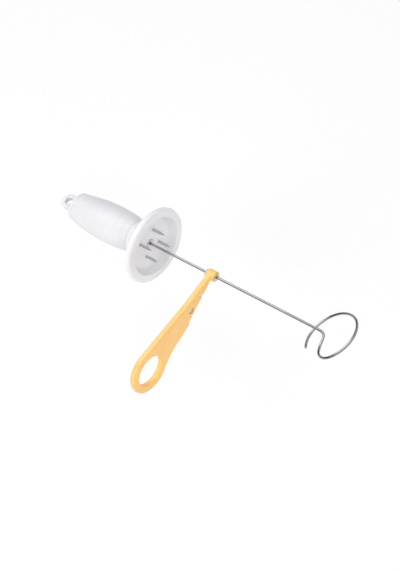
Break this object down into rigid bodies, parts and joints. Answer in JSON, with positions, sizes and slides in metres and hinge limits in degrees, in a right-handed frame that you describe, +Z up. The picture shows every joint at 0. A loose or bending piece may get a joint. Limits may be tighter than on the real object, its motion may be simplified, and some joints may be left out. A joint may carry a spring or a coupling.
{
  "type": "tornado potato cutter",
  "caption": "Hand tool that spirals a potato on a wire skewer: prong dish with grip, ring-handled skewer and a blade arm with a finger ring.",
  "frame": {"origin": "where the skewer's axis meets the dish's floor, at the centre of the prong circle", "axes": "+X along the skewer from the holder to the ring handle, +Z up with the tool lying on a table"},
  "size_m": [0.2472, 0.1172, 0.0554],
  "materials": {
    "white_plastic": "moulded, satin gloss",
    "yellow_plastic": "moulded, satin gloss",
    "bright_wire": "drawn and polished stainless wire",
    "blade_steel": "ground stainless strip",
    "stainless": "plain stainless"
  },
  "bodies": {
    "holder": {"holder_dish": "white_plastic", "socket_tube": "stainless", "grip_shell": "white_plastic", "grip_washer": "stainless", "grip_screw": "stainless", "end_cap": "white_plastic", "prong_1": "stainless", "prong_2": "stainless", "prong_3": "stainless", "prong_4": "stainless"},
    "skewer": {"skewer_wire": "bright_wire"},
    "hub": {"hub_eyelet": "stainless"},
    "cutter": {"cutter_arm": "yellow_plastic", "cutting_blade": "blade_steel", "blade_rivet_inner": "stainless", "blade_rivet_outer": "stainless"}
  },
  "joints": [
    {"name": "skewer_pull", "type": "slide", "parent": "holder", "child": "skewer", "axis": [1, 0, 0], "range_m": [0, 0.02]},
    {"name": "cutter_feed", "type": "slide", "parent": "skewer", "child": "hub", "axis": [1, 0, 0], "range_m": [-0.037, 0.07]},
    {"name": "cutter_spin", "type": "hinge", "parent": "hub", "child": "cutter", "pos_m": [0.054, 0, 0], "axis": [1, 0, 0], "continuous": true}
  ]
}
